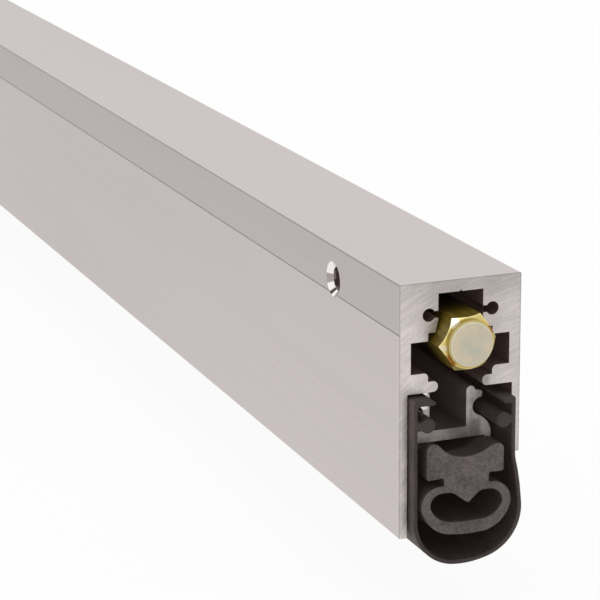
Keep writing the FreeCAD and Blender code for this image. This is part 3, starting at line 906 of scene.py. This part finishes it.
def makeStriker():
    # A brass hex nut, chamfered in front, with a round collar that holds the nylon button
    back, front, collarFront = striker["back"], striker["front"], striker["collarFront"]
    stem, stemBack = striker["stem"], striker["stemBack"]
    flats = striker["flats"] / 2
    form = bmesh.new()
    bmesh.ops.create_circle(form, cap_ends=True, segments=6, radius=flats / math.cos(math.pi / 6) * mm)
    turnBy(form, form.verts, (0, 1, 0), 90)
    turnBy(form, form.verts, (1, 0, 0), striker["turn"])
    moveBy(form, form.verts, x=back, z=striker["axis"])
    made = bmesh.ops.extrude_face_region(form, geom=form.faces[:], use_keep_orig=True)["geom"]
    moveBy(form, onlyVerts(made), x=front - back)
    bmesh.ops.recalc_face_normals(form, faces=form.faces)
    nut = asObject("nutBlank", form)
    reach = 3  # how far the chamfer's cone starts outside the flats
    face = striker["faceRadius"]
    envelope = turned([
        (back - 1, 0),
        (back - 1, flats + reach),
        (front - (flats + reach - face) * striker["chamferSlope"], flats + reach),
        (front, face),
        (front, 0),
    ])
    combine(nut, asObject("envelope", envelope), "INTERSECT")
    collar = turned([
        (front - 1, 0),
        (front - 1, striker["collar"]),
        (collarFront, striker["collar"], 0.15),
        (collarFront, 0),
    ])
    combine(nut, asObject("collar", collar), "UNION")
    rodBore = turned([
        (back - 1, 0),
        (back - 1, striker["bore"]),
        (striker["boreEnd"], striker["bore"]),
        (striker["boreEnd"], 0),
    ], 48)
    combine(nut, asObject("rodBore", rodBore), "DIFFERENCE")
    stemBore = turned([
        (stemBack - 0.5, 0),
        (stemBack - 0.5, stem + 0.05),
        (collarFront + 1, stem + 0.05),
        (collarFront + 1, 0),
    ], 48)
    combine(nut, asObject("stemBore", stemBore), "DIFFERENCE")
    form = bmesh.new()
    form.from_mesh(nut.data)
    bpy.data.objects.remove(nut)
    bmesh.ops.remove_doubles(form, verts=form.verts, dist=0.01 * mm)
    bmesh.ops.dissolve_degenerate(form, edges=form.edges, dist=0.01 * mm)
    piece("strikerNut", form, "brass", "plunger", "striker_nut", 20)
    button = turned([
        (stemBack, 0),
        (stemBack, stem),
        (collarFront, stem),
        (collarFront, striker["button"]),
        (striker["buttonFront"], striker["button"], 0.12),
        (striker["buttonFront"], 0),
    ])
    piece("strikerButton", button, "button_nylon", "plunger", "striker_button")


makeStriker()
print("striker made")


spring = {
    "span": 266,
    "width": 6.4,
    "thickness": 0.6,
    "flat": 24,
    "pinDepth": -14.1,
    "pinRadius": 1.25,
    "plate": -27.66,
    "slide": 2.7,
    "tail": 7,
    "steps": 24,
}


def springDepth(x):
    # The height of the strip at a distance from the spring's middle
    low = spring["plate"] + spring["thickness"] / 2
    high = spring["pinDepth"] - spring["pinRadius"] - spring["thickness"] / 2
    flat = spring["flat"] / 2
    share = max(0, abs(x) - flat) / (spring["span"] / 2 - flat)
    return low + (high - low) * share * share


def stripForm(xs, middle, thick):
    # A strip of the spring's width that follows its curve
    half = spring["width"] / 2
    form = bmesh.new()
    line = [form.verts.new(((middle + x) * mm, -half * mm, (springDepth(x) - thick / 2) * mm)) for x in xs]
    for first, second in zip(line, line[1:]):
        form.edges.new((first, second))
    made = bmesh.ops.extrude_edge_only(form, edges=form.edges[:])["geom"]
    moveBy(form, onlyVerts(made), y=spring["width"])
    lower = bmesh.ops.extrude_face_region(form, geom=form.faces[:], use_keep_orig=True)["geom"]
    moveBy(form, onlyVerts(lower), z=thick)
    bmesh.ops.recalc_face_normals(form, faces=form.faces)
    return form


def makeSpring(number, middle):
    # A steel strip on the bar with a rolled eye at each end; its driven end, towards +X, stops short,
    # and the eye there has a tail inside the strip, because it slides on with the plunger
    thick, half = spring["thickness"], spring["width"] / 2
    flat, span, steps = spring["flat"] / 2, spring["span"] / 2, spring["steps"]
    arm = [flat + (span - flat) * step / steps for step in range(steps + 1)]
    xs = [-x for x in reversed(arm)] + arm[:-1] + [span - spring["slide"]]
    strap = piece(f"bowSpring{number}", stripForm(xs, middle, thick), "spring_steel", None,
                  f"bow_spring_{number}", 30)
    springDepth(0) * mm
    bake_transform(strap)
    for side in (-1, 1):
        driven = side == 1
        ring = stripForm([span - spring["tail"], span - 0.2], middle, thick - 0.1) if driven else bmesh.new()
        circle = bmesh.ops.create_circle(ring, segments=32, radius=spring["pinRadius"] * mm)["verts"]
        rim = list({edge for vert in circle for edge in vert.link_edges})
        made = bmesh.ops.extrude_edge_only(ring, edges=rim)["geom"]
        corners = onlyVerts(made)
        moveBy(ring, corners, z=spring["width"])
        turnBy(ring, circle + corners, (1, 0, 0), -90)
        moveBy(ring, circle + corners, middle + side * span, -half, spring["pinDepth"])
        wall = onlyFaces(made)
        bmesh.ops.recalc_face_normals(ring, faces=wall)
        bmesh.ops.solidify(ring, geom=wall, thickness=-thick * mm)
        name = f"springEye{number}{'Driven' if driven else 'Anchored'}"
        piece(name, ring, "spring_steel", "plunger" if driven else "housing", f"bow_spring_{number}", 30)


for number in (1, 2):
    lowCorner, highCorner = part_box(f"bow_spring_{number}")
    makeSpring(number, (lowCorner.x + highCorner.x) / 2 / mm)
print("springs made")


anchorScrew = {
    "radius": 1.5,
    "head": 2.9,
    "length": 7,
    "doorFace": 11.1,
    "depth": -12.9,
    "socket": 1.1,
    "socketDepth": 1.3,
    "places": (106.2, -394.2),
}


def makeAnchorScrew(number, x):
    # A countersunk screw with a hexagon socket, flush with the door side
    radius, head = anchorScrew["radius"], anchorScrew["head"]
    form = bmesh.new()
    bmesh.ops.create_circle(form, segments=36, radius=radius * mm)
    rings = [(anchorScrew["length"] - (head - radius), radius), (anchorScrew["length"], head)]
    reached = 0
    for height, size in rings:
        loose = [edge for edge in form.edges if edge.is_boundary or not edge.link_faces]
        top = [edge for edge in loose if abs(edge.verts[0].co.z - reached * mm) < 1e-6]
        made = bmesh.ops.extrude_edge_only(form, edges=top)["geom"]
        corners = onlyVerts(made)
        moveBy(form, corners, z=height - reached)
        flat = math.hypot(corners[0].co.x, corners[0].co.y)
        bmesh.ops.scale(form, verts=corners, vec=(size * mm / flat, size * mm / flat, 1))
        reached = height
    rim = [edge for edge in form.edges if edge.is_boundary and edge.verts[0].co.z > (reached - 0.1) * mm]
    socket = bmesh.ops.create_circle(form, segments=6, radius=anchorScrew["socket"] * mm)["verts"]
    moveBy(form, socket, z=reached)
    socketEdges = list({edge for vert in socket for edge in vert.link_edges})
    bmesh.ops.bridge_loops(form, edges=rim + socketEdges)
    made = bmesh.ops.extrude_edge_only(form, edges=socketEdges)["geom"]
    moveBy(form, onlyVerts(made), z=-anchorScrew["socketDepth"])
    bmesh.ops.holes_fill(form, edges=[edge for edge in form.edges if edge.is_boundary])
    turnBy(form, form.verts, (1, 0, 0), -90)
    moveBy(form, form.verts, x, anchorScrew["doorFace"] - anchorScrew["length"], anchorScrew["depth"])
    piece(f"anchorScrew{number}", form, "rod_steel", "housing", "anchor_screws", 30)


for number, x in enumerate(anchorScrew["places"], 1):
    makeAnchorScrew(number, x)
print("anchor screws made")


studio = {
    "eye": (0.81017, -0.165, 0.10418),
    "forward": (-0.899, 0.3473, -0.2668),
    "roll": -0.476,
    "lens": 145.8,
    "skyLight": 0.8,
    "floorDepth": -0.0615,
    "floorSize": 40,
    "floorColour": (0.96, 0.96, 0.96, 1),
    "floorGlow": 0.92,
    "lampPlace": (0.3, -0.3, 1.6),
    "lampTarget": (0.2, 0, 0),
    "lampSize": 1.2,
    "lampPower": 5,
}


def makeFloor():
    # White to the camera like the sky, but it still takes some of the object's shadow
    form = bmesh.new()
    bmesh.ops.create_grid(form, x_segments=1, y_segments=1, size=studio["floorSize"])
    bmesh.ops.translate(form, verts=form.verts, vec=(0, 0, studio["floorDepth"]))
    floor = asObject("floor", form)
    finish = Finish("paleFloor", Metallic=0)
    finish.dress(finish.tint(studio["floorColour"], finish.noise(60), 0.02), 0.9)
    glow = finish.node("Emission", sockets={"Color": (1, 1, 1, 1), "Strength": 1})
    ground = Link(finish, finish.shader.outputs[0])
    glowing = finish.seen() * studio["floorGlow"]
    shown = finish.node("MixShader", sockets={0: glowing, 1: ground, 2: glow})
    finish.plug(finish.tree.nodes["Material Output"].inputs["Surface"], shown)
    floor.data.materials.append(finish.material)


def makeSky():
    # Plain soft light from all round, and plain white where the camera sees it
    world = bpy.data.worlds.new("studioSky")
    bpy.context.scene.world = world
    world.use_nodes = True
    sky = Shading(world.node_tree)
    background = sky.tree.nodes["Background"]
    background.inputs["Color"].default_value = (1, 1, 1, 1)
    strength = sky.seen() * (1 - studio["skyLight"]) + studio["skyLight"]
    sky.plug(background.inputs["Strength"], strength)


def makeLamp():
    light = bpy.data.lights.new("topLamp", "AREA")
    light.size = studio["lampSize"]
    light.energy = studio["lampPower"]
    lamp = bpy.data.objects.new("topLamp", light)
    lamp.location = studio["lampPlace"]
    lamp.rotation_mode = "QUATERNION"
    look = Vector(studio["lampTarget"]) - Vector(studio["lampPlace"])
    lamp.rotation_quaternion = look.to_track_quat("-Z", "Y")
    bpy.context.scene.collection.objects.link(lamp)


def makeCamera():
    camera = bpy.data.objects.new("camera", bpy.data.cameras.new("camera"))
    bpy.context.scene.collection.objects.link(camera)
    camera.data.lens = studio["lens"]
    camera.data.clip_start = 0.01
    camera.data.clip_end = 100
    camera.location = studio["eye"]
    camera.rotation_mode = "QUATERNION"
    look = Vector(studio["forward"]).to_track_quat("-Z", "Y")
    camera.rotation_quaternion = look @ Quaternion((0, 0, 1), math.radians(studio["roll"]))
    bpy.context.scene.camera = camera


makeFloor()
makeSky()
makeLamp()
makeCamera()
bpy.context.scene.view_settings.view_transform = "Standard"
print("studio made")
